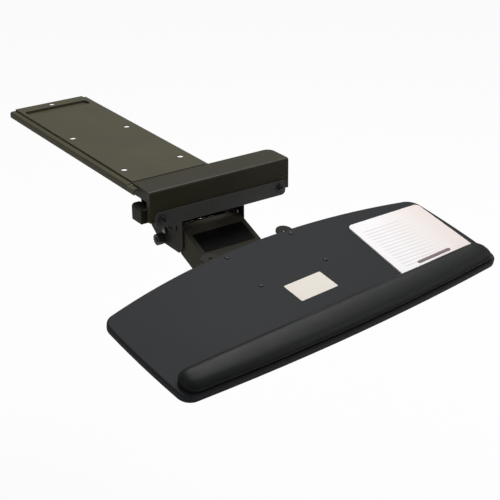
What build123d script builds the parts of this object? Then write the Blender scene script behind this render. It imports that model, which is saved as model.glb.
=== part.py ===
# Keyboard tray on a pull-out track, in millimetres, with +Z up.
# The person sits on the -Y side and faces +Y, and +X is on their right.
# The origin is the middle of the four desk screw holes, on the face that meets the desk.
# The desk track is fixed. A slide runs out of it and carries the head, the lift arm hangs from
# the head, and the tray stands on the arm through a level bracket, a tilt plate and a swivel.

import os
from math import cos, hypot, radians, sin

from build123d import *

# Shared fits and sheet
sheet = 2.5                  # sheet of the head, arm, brackets and plates
pivot_fit = 0.05             # radial running clearance of rods and bushes
side_play = 0.3              # gap between faces that move past each other
rod_diameter = 8.0           # every long pivot rod
rod_end = 4.0                # how far a rod stands out of the plate it is held in
clip_thickness = 2.0
clip_diameter = 14.0
cut_overrun = 5.0            # how far a cutting shape runs past the face it opens

# Desk track
track_length = 451.0
track_plate_width = 141.0
rail_ledge = 11.5            # ledge on each side, below the plate
rail_drop = 3.0              # step from the plate down to the ledge
track_height = 14.0
track_sheet = 1.5
rail_bend = 4.0              # outside radius of the ledge's outer bend
rail_nose = 24.0             # left rail runs on this far beside the hood
screw_spread = 110.0         # desk screw holes, left to right
screw_pitch = 188.0          # desk screw holes, rear pair to front pair
screw_hole_diameter = 11.0
front_pair_inset = 55.0      # front pair to the front end of the plate
centre_hole_inset = 12.0
centre_hole_diameter = 10.5
trough_inset = 26.0          # pressed trough across the plate, from the rear end
trough_length = 24.0
trough_depth = 4.5
trough_corner = 6.0
trough_side_inset = 6.0
track_width = track_plate_width + 2 * rail_ledge
track_front = -(screw_pitch / 2 + front_pair_inset)
track_rear = track_front + track_length

# Guide under the plate and the slide in it
guide_width = 68.0
guide_sheet = 1.6
guide_lip = 10.0
guide_rear_gap = 2.0         # guide's rear end to the trough's wall
slide_width = 58.0
slide_sheet = 2.0
slide_top_gap = 1.4          # guide web to the top of the slide
glide_length = 36.0
glide_foot = 3.5             # how far a glide reaches under and over the slide's flange
guide_top = -track_sheet
guide_inner_top = guide_top - guide_sheet
guide_bottom = -track_height
guide_lip_top = guide_bottom + guide_sheet
guide_inner_half = guide_width / 2 - guide_sheet
slide_top = guide_inner_top - slide_top_gap
slide_lip_gap = 1.0
slide_bottom = guide_lip_top + slide_lip_gap
stop_width = 40.0
stop_length = 8.0
stop_gap = 4.0               # stop block to the slide's rear end
stop_inset = 2.5             # and to the guide's rear end

# Head: hood, beam, release bar, side clip
head_x = 66.0                # middle of the head, right of the track's middle
hood_gap = 0.5               # track's front end to the hood
hood_width = 276.0
hood_depth = 56.5
hood_height = 54.0
hood_top_drop = 1.0          # hood's top below the desk's underside
hood_corner = 14.0
hood_front_bend = 4.0
hood_mouth_gap = 4.0         # hood's mouth to the track's right side
hood_left_wall_height = 19.0
hood_left_flange = 10.0
beam_length = 256.0
beam_rear_gap = 8.0          # beam to the hood's rear wall
beam_bottom_rise = 1.0       # hood's lower edge below the beam
hood_rear = track_front - hood_gap
hood_front = hood_rear - hood_depth
hood_top = -hood_top_drop
hood_bottom = hood_top - hood_height
hood_left = head_x - hood_width / 2
hood_right = head_x + hood_width / 2
beam_front = hood_front + sheet
beam_rear = hood_rear - sheet - beam_rear_gap
beam_top = slide_bottom
beam_bottom = hood_bottom + beam_bottom_rise
beam_left = head_x - beam_length / 2

release_bar_length = 260.0
release_bar_height = 27.0
release_bar_corner = 8.0
release_bar_thickness = 3.0
release_bar_drop = 10.0      # bar's lower edge below the hood's
release_bar_travel = 6.0
release_screw_spread = 236.0
release_screw_diameter = 6.0
release_screw_head = 11.0
release_screw_head_height = 3.5
release_screw_rise = 2.0     # screws above the bar's middle
release_washer_diameter = 17.0
release_washer_thickness = 1.0
release_bar_z = hood_bottom - release_bar_drop + release_bar_height / 2
release_screw_z = release_bar_z + release_screw_rise
release_bar_back = hood_front - side_play
release_bar_front = release_bar_back - release_bar_thickness
release_washer_back = release_bar_front - side_play
release_washer_front = release_washer_back - release_washer_thickness

clip_outset = 9.0            # side clip's outer leg beyond the hood's left end
clip_length = 30.0
clip_front_inset = 14.0      # hood's front to the clip's front edge
clip_height = 28.0
clip_inner_leg = 18.0
clip_top_drop = 11.0         # below the hood's short left wall
clip_bend = 6.0
clip_sheet = 2.0

# Gussets that hang from the beam and hold the arm
gusset_spacing = 126.0       # outside of one gusset to outside of the other
gusset_bottom = -142.0
gusset_front = -180.0
gusset_rear = -76.0
gusset_front_shoulder = -66.0
gusset_rear_shoulder = -80.0
gusset_corner = 13.0
gusset_flange = 18.0
gusset_slot_length = 10.0
gusset_slot_width = 4.0
gusset_slot_inset = 18.0     # slot behind the gusset's front edge
gusset_slot_z = -98.0
gusset_hole_diameter = 5.0
gusset_hole_z = -104.0
gusset_holes_share = (0.34, 0.41)   # small holes, as shares of the gusset's length from its front
flange_bolt_diameter = 6.0
flange_bolt_head = 10.0
flange_bolt_head_height = 4.0
flange_bolt_tail = 3.0
flange_bolt_pitch = 24.0

# Lift arm: its direction drops toward the person
arm_angle = 21.4
arm_length = 200.0           # rear pivot to front pivot
arm_width = 118.0
arm_pivot_y = -131.7
arm_pivot_z = -94.7
arm_top = 13.5               # arm's top face above the line of its pivots
arm_depth = 47.0
arm_rear_top = 9.0           # side walls' top edge round the rear pivot
arm_web_start = 42.0         # top plate's rear edge, along the arm from the rear pivot
arm_web_slope = 6.0          # length in which the side walls rise to it
arm_web_run = 32.0           # web bent down from that edge, length toward the rear
arm_web_drop = 19.5          # and its height
arm_end = 16.0               # arm beyond each pivot line
arm_end_drop = 15.5          # side wall below the pivots at both ends
arm_neck_share = (0.15, 0.26, 0.65, 0.91)   # where the side walls deepen and rise again
arm_corner = 9.0
link_drop = 24.0             # parallel link's pivots below the arm's
link_width = 100.0
link_height = 16.0
bush_wall = 2.0
bush_flange = 2.5
bush_flange_thickness = 1.2
arm_label_length = 45.0
arm_label_width = 101.0
arm_label_start = 58.0       # label's rear edge, along the arm from its rear pivot
label_thickness = 0.4
label_corner = 2.0
spring_gap = 4.0             # between the two springs
spring_outer = 18.0
spring_inset = 6.0           # spring to the arm's side wall

# Tension knob on the left gusset
knob_y = -112.0
knob_z = -135.0
knob_diameter = 20.0
knob_thickness = 11.0
knob_flutes = 12
knob_flute_diameter = 2.4
stud_diameter = 6.0
stud_cap = 1.5
stud_collar_diameter = 9.0
stud_collar = 1.0

# Level bracket at the arm's front
bracket_spacing = gusset_spacing
bracket_boss = 12.0          # radius of the plate round each pivot
bracket_foot_drop = 14.0     # foot of the front edge, below the arm's front pivot
bracket_web_top = 14.0       # web's top edge below the tilt rod

# Tilt plate and swivel
tilt_angle = 11.7            # tray's slope in the photographed pose, rear edge up
tilt_rod_ahead = 20.8        # tilt rod ahead of the arm's front pivot
tilt_rod_rise = 47.5         # and above it
tilt_plate_rise = 11.0       # underside of the tilt plate above the tilt rod
tilt_plate_thickness = 3.0
tilt_plate_width = 116.0
tilt_plate_front = 75.0
tilt_plate_rear = 45.0
tilt_plate_lip = 6.0
tilt_hub = 11.0
tilt_corner = 4.0
swivel_angle = 5.7           # tray's turn in the photographed pose, seen from above
swivel_ahead = 20.0          # swivel bolt ahead of the tilt rod
swivel_bolt_diameter = 12.0
swivel_head_flats = 19.0
swivel_head_height = 6.0
swivel_nut_height = 6.0
swivel_washer_diameter = 90.0
swivel_washer_thickness = 1.5
swivel_play = 0.1
swivel_plate_width = 182.0
swivel_plate_depth = 112.0
swivel_plate_corner = 10.0
ear_spread = 158.0
ear_width = 30.0
ear_reach = 84.0             # ear's end behind the swivel bolt
ear_hole_diameter = 6.0

# Tray board, seen from the swivel bolt
board_thickness = 14.0
board_width = 650.0
board_front = -191.0         # front corners, ahead of the swivel bolt
board_rear = 12.0            # rear corners, behind the swivel bolt
board_rear_bow = 45.0
board_front_bow = 11.0
board_side_bow = 3.0
board_rear_corner = 26.0
board_front_corner = 22.0
board_top_edge = 3.0
board_bottom_edge = 5.0
board_pocket_diameter = 30.0
board_pocket_depth = 9.0
tray_screw_spread = 136.0
tray_screw_pitch = 86.0
tray_screw_diameter = 5.0
tray_screw_head = 8.0
tray_screw_head_height = 1.6

# What lies on the board
rest_inset = 2.0             # palm rest inside the board's front edge
rest_end_inset = 7.0         # and inside its ends
rest_depth = 45.0            # rear edge behind the board's front corners
rest_height = 16.0
rest_corner = 20.0
rest_crown = 12.5
rest_tuck = 2.5
rest_base_thickness = 2.0
rest_base_inset = 3.5
pad_front_inset = 13.5       # pad's right corners inside the board's right end
pad_rear_inset = 5.5
pad_front_width = 165.0
pad_rear_width = 156.5
pad_rear_left = 7.3          # pad's rear corners, behind the swivel bolt
pad_rear_right = -4.4
pad_gap = 1.0                # pad's front edge behind the palm rest
pad_thickness = 2.5
pad_corner = 9.0
pad_front_corner = 3.0
bar_length = 76.0
bar_width = 6.0
bar_thickness = 0.6
bar_inset = 14.0             # bar's middle behind the pad's front edge
bar_side_inset = 81.5        # and left of the pad's right front corner
tray_label_width = 76.0
tray_label_depth = 44.0
tray_label_x = -1.5
tray_label_y = -85.0

# Directions and planes that pieces are drawn on
arm_run = (0, -cos(radians(arm_angle)), -sin(radians(arm_angle)))
arm_rise = (0, -sin(radians(arm_angle)), cos(radians(arm_angle)))


def along_arm(run, rise):
    """Place at a distance along the arm and above its pivot line, on the head's middle plane."""
    y = arm_pivot_y + run * arm_run[1] + rise * arm_rise[1]
    z = arm_pivot_z + run * arm_run[2] + rise * arm_rise[2]
    return (head_x, y, z)


arm_rear_pivot = along_arm(0, 0)
arm_front_pivot = along_arm(arm_length, 0)
link_rear_pivot = along_arm(0, -link_drop)
link_front_pivot = along_arm(arm_length, -link_drop)
tilt_rod_y = arm_front_pivot[1] - tilt_rod_ahead
tilt_rod_z = arm_front_pivot[2] + tilt_rod_rise

# Drawn on these, x runs down the arm and y rises square to it. Their normal is -X.
arm_plane = Plane(origin=arm_rear_pivot, x_dir=arm_run, z_dir=(-1, 0, 0))
link_plane = Plane(origin=link_rear_pivot, x_dir=arm_run, z_dir=(-1, 0, 0))
label_plane = Plane(origin=along_arm(0, arm_top), x_dir=(1, 0, 0), z_dir=arm_rise)

# Drawn on this, x runs along Y and y along Z, on the head's middle plane.
middle_plane = Plane(origin=(head_x, 0, 0), x_dir=(0, 1, 0), z_dir=(1, 0, 0))

# The tilt rod's own frame leans with the tray.
tilt_plane = Plane(
    origin=(head_x, tilt_rod_y, tilt_rod_z),
    x_dir=(1, 0, 0),
    z_dir=(0, -sin(radians(tilt_angle)), cos(radians(tilt_angle))),
)
tilt_side_plane = Plane(origin=tilt_plane.origin, x_dir=tilt_plane.y_dir, z_dir=(1, 0, 0))
swivel_plane = Plane(
    origin=tilt_plane.from_local_coords(Vector(0, -swivel_ahead, 0)),
    x_dir=tilt_plane.x_dir,
    z_dir=tilt_plane.z_dir,
)
tilt_plate_top = tilt_plate_rise + tilt_plate_thickness
swivel_washer_top = tilt_plate_top + swivel_washer_thickness
swivel_plate_bottom = swivel_washer_top + swivel_play
board_bottom = swivel_plate_bottom + sheet
board_top = board_bottom + board_thickness

# The board's frame turns on the swivel bolt, with its origin on the board's top face.
board_plane = Plane(
    origin=swivel_plane.from_local_coords(Vector(0, 0, board_top)),
    x_dir=tilt_plane.x_dir * cos(radians(swivel_angle))
    + tilt_plane.y_dir * sin(radians(swivel_angle)),
    z_dir=tilt_plane.z_dir,
)


def bent_sheet(points, wall, bend=0):
    """Section of a bent sheet, from its outer line. The sheet lies to the right of the line."""
    with BuildSketch(Plane.XY) as section:
        with BuildLine():
            if bend:
                outer = FilletPolyline(*points, radius=bend)
            else:
                outer = Polyline(*points)
            offset(outer, amount=wall, side=Side.RIGHT, kind=Kind.INTERSECTION)
        make_face()
    return section.sketch


def save(piece, name):
    """Label a finished piece and write it under its name."""
    piece.part.label = name
    export_step(piece.part, f"parts/{name}.step")


os.makedirs("parts", exist_ok=True)

# Track: plate with stepped side rails, desk screw holes and a pressed trough near the rear
plate_half = track_plate_width / 2
track_half = track_width / 2
track_line = [
    (-track_half, -track_height),
    (-track_half, -rail_drop),
    (-plate_half, -rail_drop),
    (-plate_half, 0),
    (plate_half, 0),
    (plate_half, -rail_drop),
    (track_half, -rail_drop),
    (track_half, -track_height),
]
track_section = bent_sheet(track_line, track_sheet)
trough_y = track_rear - trough_inset - trough_length / 2
trough_width = track_plate_width - 2 * trough_side_inset
with BuildPart() as track_channel:
    with BuildSketch(Plane.XZ.offset(-track_rear)) as rail_section:
        add(track_section)
        for inner_side, outer_side in ((1, 0), (-2, -1)):
            inner_bend = rail_section.vertices().group_by(Axis.X)[inner_side].sort_by(Axis.Y)[-1]
            fillet(inner_bend, rail_bend - track_sheet)
            outer_bend = rail_section.vertices().group_by(Axis.X)[outer_side].sort_by(Axis.Y)[-1]
            fillet(outer_bend, rail_bend)
    extrude(amount=track_length)
    nose_top = hood_top - sheet - side_play
    nose_reach = max(track_sheet, hood_left - side_play + track_half)
    with BuildSketch(Plane.XZ.offset(-track_front)):
        with Locations((-track_half, nose_top)):
            Rectangle(track_sheet, track_height + nose_top, align=(Align.MIN, Align.MAX))
            Rectangle(nose_reach, track_sheet, align=(Align.MIN, Align.MAX))
    extrude(amount=rail_nose)
    with BuildSketch(Plane.XY):
        with Locations((0, trough_y)):
            RectangleRounded(
                trough_width + 2 * track_sheet,
                trough_length + 2 * track_sheet,
                trough_corner + track_sheet,
            )
    extrude(amount=-(trough_depth + track_sheet))
    with BuildSketch(Plane.XY):
        with Locations((0, trough_y)):
            RectangleRounded(trough_width, trough_length, trough_corner)
    extrude(amount=-trough_depth, mode=Mode.SUBTRACT)
    with BuildSketch(Plane.XY):
        with GridLocations(screw_spread, screw_pitch, 2, 2):
            Circle(screw_hole_diameter / 2)
        with Locations((0, track_rear - centre_hole_inset)):
            Circle(centre_hole_diameter / 2)
    extrude(amount=-track_sheet, mode=Mode.SUBTRACT)
save(track_channel, "track_channel")

# Guide: C-section under the plate in which the slide runs
guide_half = guide_width / 2
guide_rear = trough_y - trough_length / 2 - track_sheet - guide_rear_gap
guide_line = [
    (-guide_half + guide_lip, guide_bottom),
    (-guide_half, guide_bottom),
    (-guide_half, guide_top),
    (guide_half, guide_top),
    (guide_half, guide_bottom),
    (guide_half - guide_lip, guide_bottom),
]
guide_section = bent_sheet(guide_line, guide_sheet)
with BuildPart() as slide_guide:
    with BuildSketch(Plane.XZ.offset(-guide_rear)):
        add(guide_section)
    extrude(amount=guide_rear - track_front)
save(slide_guide, "slide_guide")

# Stop block at the guide's rear end
slide_rear = guide_rear - stop_inset - stop_length - stop_gap
with BuildPart() as rear_stop:
    with BuildSketch(Plane.XY.offset(guide_inner_top)):
        with Locations((0, slide_rear + stop_gap + stop_length / 2)):
            RectangleRounded(stop_width, stop_length, stop_length / 4)
    extrude(amount=guide_lip_top - guide_inner_top)
save(rear_stop, "rear_stop")

# Slide: inverted channel that runs out of the guide and over the head's beam
slide_half = slide_width / 2
slide_line = [
    (-slide_half, slide_bottom),
    (-slide_half, slide_top),
    (slide_half, slide_top),
    (slide_half, slide_bottom),
]
slide_section = bent_sheet(slide_line, slide_sheet)
with BuildPart() as slide_bar:
    with BuildSketch(Plane.XZ.offset(-slide_rear)):
        add(slide_section)
    extrude(amount=slide_rear - beam_front)
save(slide_bar, "slide_bar")

# Glides: two plastic shoes on the slide's rear end run in the guide
glide_outer = guide_inner_half - side_play
glide_inner = slide_half - glide_foot
glide_top = guide_inner_top - side_play
glide_bottom = guide_lip_top + side_play
slide_glide_points = [
    (glide_inner, glide_bottom),
    (glide_outer, glide_bottom),
    (glide_outer, glide_top),
    (glide_inner, glide_top),
    (glide_inner, slide_top),
    (slide_half, slide_top),
    (slide_half, slide_bottom),
    (glide_inner, slide_bottom),
]
with BuildPart() as slide_glides:
    with BuildSketch(Plane.XZ.offset(-slide_rear)):
        with BuildLine():
            Polyline(*slide_glide_points, close=True)
        make_face()
        mirror(about=Plane.YZ)
    extrude(amount=glide_length)
save(slide_glides, "slide_glides")

# and two in the guide's mouth carry the slide
guide_glide_points = [
    (glide_inner, guide_lip_top),
    (guide_inner_half, guide_lip_top),
    (guide_inner_half, guide_inner_top),
    (glide_inner, guide_inner_top),
    (glide_inner, slide_top + side_play),
    (slide_half + side_play, slide_top + side_play),
    (slide_half + side_play, slide_bottom - side_play),
    (glide_inner, slide_bottom - side_play),
]
with BuildPart() as guide_glides:
    with BuildSketch(Plane.XZ.offset(-(track_front + glide_length))):
        with BuildLine():
            Polyline(*guide_glide_points, close=True)
        make_face()
        mirror(about=Plane.YZ)
    extrude(amount=glide_length)
save(guide_glides, "guide_glides")

# Head beam: box tube across the head
flange_bolt_middle = (beam_front + beam_rear) / 2
flange_bolt_spread = gusset_spacing - gusset_flange - sheet
with BuildPart() as head_beam:
    with BuildSketch(Plane.YZ.offset(beam_left)):
        with Locations(((beam_front + beam_rear) / 2, (beam_top + beam_bottom) / 2)):
            Rectangle(beam_rear - beam_front, beam_top - beam_bottom)
            Rectangle(
                beam_rear - beam_front - 2 * sheet,
                beam_top - beam_bottom - 2 * sheet,
                mode=Mode.SUBTRACT,
            )
    extrude(amount=beam_length)
    with BuildSketch(Plane.XZ.offset(-(beam_front + sheet))):
        with Locations((head_x, release_screw_z)):
            with GridLocations(release_screw_spread, 0, 2, 1):
                Circle(release_screw_diameter / 2)
    extrude(amount=sheet, mode=Mode.SUBTRACT)
    with BuildSketch(Plane.XY.offset(beam_bottom)):
        with Locations((head_x, flange_bolt_middle)):
            with GridLocations(flange_bolt_spread, flange_bolt_pitch, 2, 2):
                Circle(flange_bolt_diameter / 2)
    extrude(amount=sheet, mode=Mode.SUBTRACT)
save(head_beam, "head_beam")

# Hood: deep cover over the beam, open below and toward the track
hood_middle_y = (hood_front + hood_rear) / 2
with BuildPart() as hood:
    with BuildSketch(Plane.XY.offset(hood_top)):
        with Locations((head_x, hood_middle_y)):
            hood_plan = Rectangle(hood_width, hood_depth)
        rear_right = hood_plan.vertices().group_by(Axis.X)[-1].sort_by(Axis.Y)[-1]
        fillet(rear_right, hood_corner)
    extrude(amount=-hood_height)
    top_rim = hood.edges().group_by(Axis.Z)[-1]
    front_rim = top_rim.sort_by(Axis.Y)[0]
    fillet(front_rim, hood_front_bend)
    with BuildSketch(Plane.XY.offset(hood_top - sheet)):
        with Locations((head_x, hood_middle_y)):
            hood_room = Rectangle(hood_width - 2 * sheet, hood_depth - 2 * sheet)
        rear_right = hood_room.vertices().group_by(Axis.X)[-1].sort_by(Axis.Y)[-1]
        fillet(rear_right, hood_corner - sheet)
    extrude(amount=-hood_height, mode=Mode.SUBTRACT)
    track_mouth = track_half + hood_mouth_gap - hood_left
    with BuildSketch(Plane.XY.offset(hood_top - sheet)):
        with Locations((hood_left, hood_rear)):
            Rectangle(track_mouth, sheet, align=(Align.MIN, Align.MAX))
    extrude(amount=-hood_height, mode=Mode.SUBTRACT)
    with BuildSketch(Plane.XY.offset(hood_top - hood_left_wall_height)):
        with Locations((hood_left, hood_rear)):
            Rectangle(sheet, hood_depth - hood_left_flange, align=(Align.MIN, Align.MAX))
    extrude(amount=-hood_height, mode=Mode.SUBTRACT)
    with BuildSketch(Plane.XZ.offset(-(hood_front + sheet))):
        with Locations((head_x, release_screw_z)):
            with GridLocations(release_screw_spread, 0, 2, 1):
                Circle(release_screw_diameter / 2)
    extrude(amount=sheet, mode=Mode.SUBTRACT)
save(hood, "hood")

# Release bar: flat bar that lifts on two screws and frees the height lock
with BuildPart() as release_bar:
    with BuildSketch(Plane.XZ.offset(-release_bar_back)):
        with Locations((head_x, release_bar_z)):
            RectangleRounded(release_bar_length, release_bar_height, release_bar_corner)
        slot_width = release_screw_diameter + 2 * side_play
        with Locations((head_x, release_screw_z - release_bar_travel / 2)):
            with GridLocations(release_screw_spread, 0, 2, 1):
                SlotOverall(
                    slot_width + release_bar_travel,
                    slot_width,
                    rotation=90,
                    mode=Mode.SUBTRACT,
                )
    extrude(amount=release_bar_thickness)
    chamfer(release_bar.faces().sort_by(Axis.Y)[0].outer_wire().edges(), release_bar_thickness / 4)
save(release_bar, "release_bar")

# Screws and washers that guide the release bar
with BuildPart() as release_bar_washers:
    with BuildSketch(Plane.XZ.offset(-release_washer_back)):
        with Locations((head_x, release_screw_z)):
            with GridLocations(release_screw_spread, 0, 2, 1):
                Circle(release_washer_diameter / 2)
                Circle(release_screw_diameter / 2, mode=Mode.SUBTRACT)
    extrude(amount=release_washer_thickness)
save(release_bar_washers, "release_bar_washers")

with BuildPart() as release_bar_screws:
    with BuildSketch(Plane.XZ.offset(-(beam_front + sheet))):
        with Locations((head_x, release_screw_z)):
            with GridLocations(release_screw_spread, 0, 2, 1):
                Circle(release_screw_diameter / 2)
    extrude(amount=beam_front + sheet - release_washer_front)
    with BuildSketch(Plane.XZ.offset(-release_washer_front)):
        with Locations((head_x, release_screw_z)):
            with GridLocations(release_screw_spread, 0, 2, 1):
                Circle(release_screw_head / 2)
    extrude(amount=release_screw_head_height)
    fillet(
        release_bar_screws.edges().filter_by(GeomType.CIRCLE).group_by(Axis.Y)[0],
        release_screw_head_height * 3 / 4,
    )
save(release_bar_screws, "release_bar_screws")

# Side clip: curled bracket on the beam's left end, closed in front
clip_outer = hood_left - clip_outset
clip_top = hood_top - hood_left_wall_height - clip_top_drop
clip_line = [
    (clip_outer, clip_top - clip_height),
    (clip_outer, clip_top),
    (beam_left, clip_top),
    (beam_left, clip_top - clip_inner_leg),
]
clip_section = bent_sheet(clip_line, clip_sheet, clip_bend)
clip_rear = hood_front + clip_front_inset + clip_length
with BuildPart() as side_clip:
    with BuildSketch(Plane.XZ.offset(-clip_rear)):
        add(clip_section)
    extrude(amount=clip_length)
    with BuildSketch(Plane.XZ.offset(-(clip_rear - clip_length + clip_sheet))):
        with Locations((clip_outer, clip_top - clip_bend)):
            Rectangle(
                beam_left - clip_outer,
                clip_height - clip_bend,
                align=(Align.MIN, Align.MAX),
            )
    extrude(amount=clip_sheet)
save(side_clip, "side_clip")

# Left gusset: plate with a top flange that bolts to the beam, and its holes
gusset_left_face = head_x - gusset_spacing / 2
gusset_length = gusset_rear - gusset_front
left_gusset_plane = Plane(origin=(gusset_left_face, 0, 0), x_dir=(0, 1, 0), z_dir=(1, 0, 0))
gusset_points = [
    (beam_front, beam_bottom),
    (beam_rear, beam_bottom),
    (beam_rear, hood_bottom - side_play),
    (gusset_rear - gusset_corner, (beam_bottom + gusset_rear_shoulder) / 2),
    (gusset_rear, gusset_rear_shoulder),
    (gusset_rear, gusset_bottom + 3 * gusset_corner / 2),
    (gusset_rear - 2 * gusset_corner, gusset_bottom),
    (gusset_front + gusset_corner, gusset_bottom),
    (gusset_front, gusset_bottom + gusset_corner),
    (gusset_front, gusset_front_shoulder),
    (beam_front, gusset_front_shoulder + gusset_corner / 2),
]
with BuildPart() as gusset_left:
    with BuildSketch(left_gusset_plane):
        with BuildLine():
            Polyline(*gusset_points, close=True)
        make_face()
        with Locations(arm_rear_pivot[1:], link_rear_pivot[1:]):
            Circle(rod_diameter / 2, mode=Mode.SUBTRACT)
        with Locations((knob_y, knob_z)):
            Circle(stud_diameter / 2, mode=Mode.SUBTRACT)
        with Locations((gusset_front + gusset_slot_inset, gusset_slot_z)):
            SlotOverall(gusset_slot_length, gusset_slot_width, rotation=90, mode=Mode.SUBTRACT)
        for share in gusset_holes_share:
            with Locations((gusset_front + share * gusset_length, gusset_hole_z)):
                Circle(gusset_hole_diameter / 2, mode=Mode.SUBTRACT)
    extrude(amount=sheet)
    with BuildSketch(Plane.XY.offset(beam_bottom)):
        with Locations((gusset_left_face, flange_bolt_middle)):
            Rectangle(gusset_flange, beam_rear - beam_front, align=(Align.MIN, Align.CENTER))
        with Locations((head_x - flange_bolt_spread / 2, flange_bolt_middle)):
            with GridLocations(0, flange_bolt_pitch, 1, 2):
                Circle(flange_bolt_diameter / 2, mode=Mode.SUBTRACT)
    extrude(amount=-sheet)
save(gusset_left, "gusset_left")

with BuildPart() as gusset_right:
    mirror(gusset_left.part, about=Plane.YZ.offset(head_x))
save(gusset_right, "gusset_right")

# Bolts that hold the gussets to the beam
with BuildPart() as gusset_bolts:
    with BuildSketch(Plane.XY.offset(beam_bottom - sheet)):
        with Locations((head_x, flange_bolt_middle)):
            with GridLocations(flange_bolt_spread, flange_bolt_pitch, 2, 2):
                RegularPolygon(flange_bolt_head / 2, 6, major_radius=False)
    extrude(amount=-flange_bolt_head_height)
    with BuildSketch(Plane.XY.offset(beam_bottom - sheet)):
        with Locations((head_x, flange_bolt_middle)):
            with GridLocations(flange_bolt_spread, flange_bolt_pitch, 2, 2):
                Circle(flange_bolt_diameter / 2)
    extrude(amount=2 * sheet + flange_bolt_tail)
save(gusset_bolts, "gusset_bolts")


def pivot_rod(name, place, spacing):
    """Rod along X through both side plates, with a groove's worth standing out at each end."""
    plane = Plane(origin=place, x_dir=(0, 1, 0), z_dir=(1, 0, 0))
    with BuildPart() as rod:
        with BuildSketch(plane):
            Circle(rod_diameter / 2)
        extrude(amount=spacing / 2 + rod_end, both=True)
        chamfer(rod.edges().filter_by(GeomType.CIRCLE), rod_diameter / 10)
    save(rod, name)


def rod_clips(name, places, spacing):
    """Retaining rings outside both side plates, on each of the rods named by place."""
    with BuildPart() as clips:
        for place in places:
            for side in (-1, 1):
                x = place[0] + side * spacing / 2
                ring_plane = Plane(origin=(x, place[1], place[2]), x_dir=(0, 1, 0), z_dir=(1, 0, 0))
                with BuildSketch(ring_plane):
                    Circle(clip_diameter / 2)
                    Circle(rod_diameter / 2, mode=Mode.SUBTRACT)
                extrude(amount=side * clip_thickness)
    save(clips, name)


# Rods in the gussets
pivot_rod("arm_rear_rod", arm_rear_pivot, gusset_spacing)
pivot_rod("link_rear_rod", link_rear_pivot, gusset_spacing)
rod_clips("head_rod_clips", (arm_rear_pivot, link_rear_pivot), gusset_spacing)

# Lift springs round the arm's rear rod, one at each side
with BuildPart() as lift_springs:
    spring_length = arm_width / 2 - sheet - spring_inset - spring_gap / 2
    spring_middle = (spring_gap + spring_length) / 2
    for side in (-1, 1):
        spring_x = head_x + side * spring_middle - spring_length / 2
        spring_place = (spring_x, arm_rear_pivot[1], arm_rear_pivot[2])
        with BuildSketch(Plane(origin=spring_place, x_dir=(0, 1, 0), z_dir=(1, 0, 0))):
            Circle(spring_outer / 2)
            Circle(rod_diameter / 2, mode=Mode.SUBTRACT)
        extrude(amount=spring_length)
save(lift_springs, "lift_springs")

# Stud and fluted knob on the left gusset
stud_plane = Plane(origin=(gusset_left_face, knob_y, knob_z), x_dir=(0, 1, 0), z_dir=(1, 0, 0))
with BuildPart() as knob_stud:
    with BuildSketch(stud_plane.offset(sheet)):
        Circle(stud_diameter / 2)
    extrude(amount=-(sheet + stud_collar + knob_thickness + 2 * side_play + stud_cap))
    with BuildSketch(stud_plane):
        Circle(stud_collar_diameter / 2)
    extrude(amount=-stud_collar)
    with BuildSketch(stud_plane.offset(-(stud_collar + knob_thickness + 2 * side_play))):
        Circle(stud_collar_diameter / 2)
    extrude(amount=-stud_cap)
save(knob_stud, "knob_stud")

with BuildPart() as tension_knob:
    with BuildSketch(stud_plane.offset(-(stud_collar + side_play))):
        Circle(knob_diameter / 2)
        with PolarLocations(knob_diameter / 2, knob_flutes):
            Circle(knob_flute_diameter / 2, mode=Mode.SUBTRACT)
        Circle(stud_diameter / 2 + pivot_fit, mode=Mode.SUBTRACT)
    extrude(amount=-knob_thickness)
save(tension_knob, "tension_knob")

# Lift arm: inverted channel with narrow necks at both ends
neck_rear, deep_rear, deep_front, neck_front = [share * arm_length for share in arm_neck_share]
arm_floor = arm_top - arm_depth
arm_outline = [
    (-arm_end, arm_rear_top),
    (arm_web_start - arm_web_slope, arm_rear_top),
    (arm_web_start, arm_top),
    (arm_length + arm_end, arm_top),
    (arm_length + arm_end, -arm_end_drop),
    (neck_front, -arm_end_drop),
    (deep_front, arm_floor),
    (deep_rear, arm_floor),
    (neck_rear, -arm_end_drop),
    (-arm_end, -arm_end_drop),
]
bush_outer = rod_diameter / 2 + pivot_fit + bush_wall
with BuildPart() as lift_arm:
    with BuildSketch(arm_plane):
        with BuildLine():
            Polyline(*arm_outline, close=True)
        arm_side = make_face()
        arm_ends = arm_side.vertices().group_by(Axis.X)
        fillet(arm_ends[0] + arm_ends[-1], arm_corner)
        with Locations((0, 0), (arm_length, 0)):
            Circle(bush_outer, mode=Mode.SUBTRACT)
    extrude(amount=arm_width / 2, both=True)
    with BuildSketch(arm_plane):
        with Locations((arm_length / 2, arm_top - sheet)):
            Rectangle(
                arm_length + 2 * arm_end + 2 * cut_overrun,
                arm_depth + cut_overrun,
                align=(Align.CENTER, Align.MAX),
            )
    extrude(amount=arm_width / 2 - sheet, both=True, mode=Mode.SUBTRACT)
    web_foot_run = arm_web_start - arm_web_run
    web_foot_rise = arm_top - arm_web_drop
    web_step = sheet * hypot(arm_web_run, arm_web_drop) / arm_web_drop
    with BuildSketch(arm_plane):
        with BuildLine():
            Polyline(
                (arm_web_start, arm_top),
                (web_foot_run, web_foot_rise),
                (web_foot_run + web_step, web_foot_rise),
                (arm_web_start + web_step, arm_top),
                close=True,
            )
        make_face()
    extrude(amount=arm_width / 2 - sheet, both=True)
save(lift_arm, "lift_arm")

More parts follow.
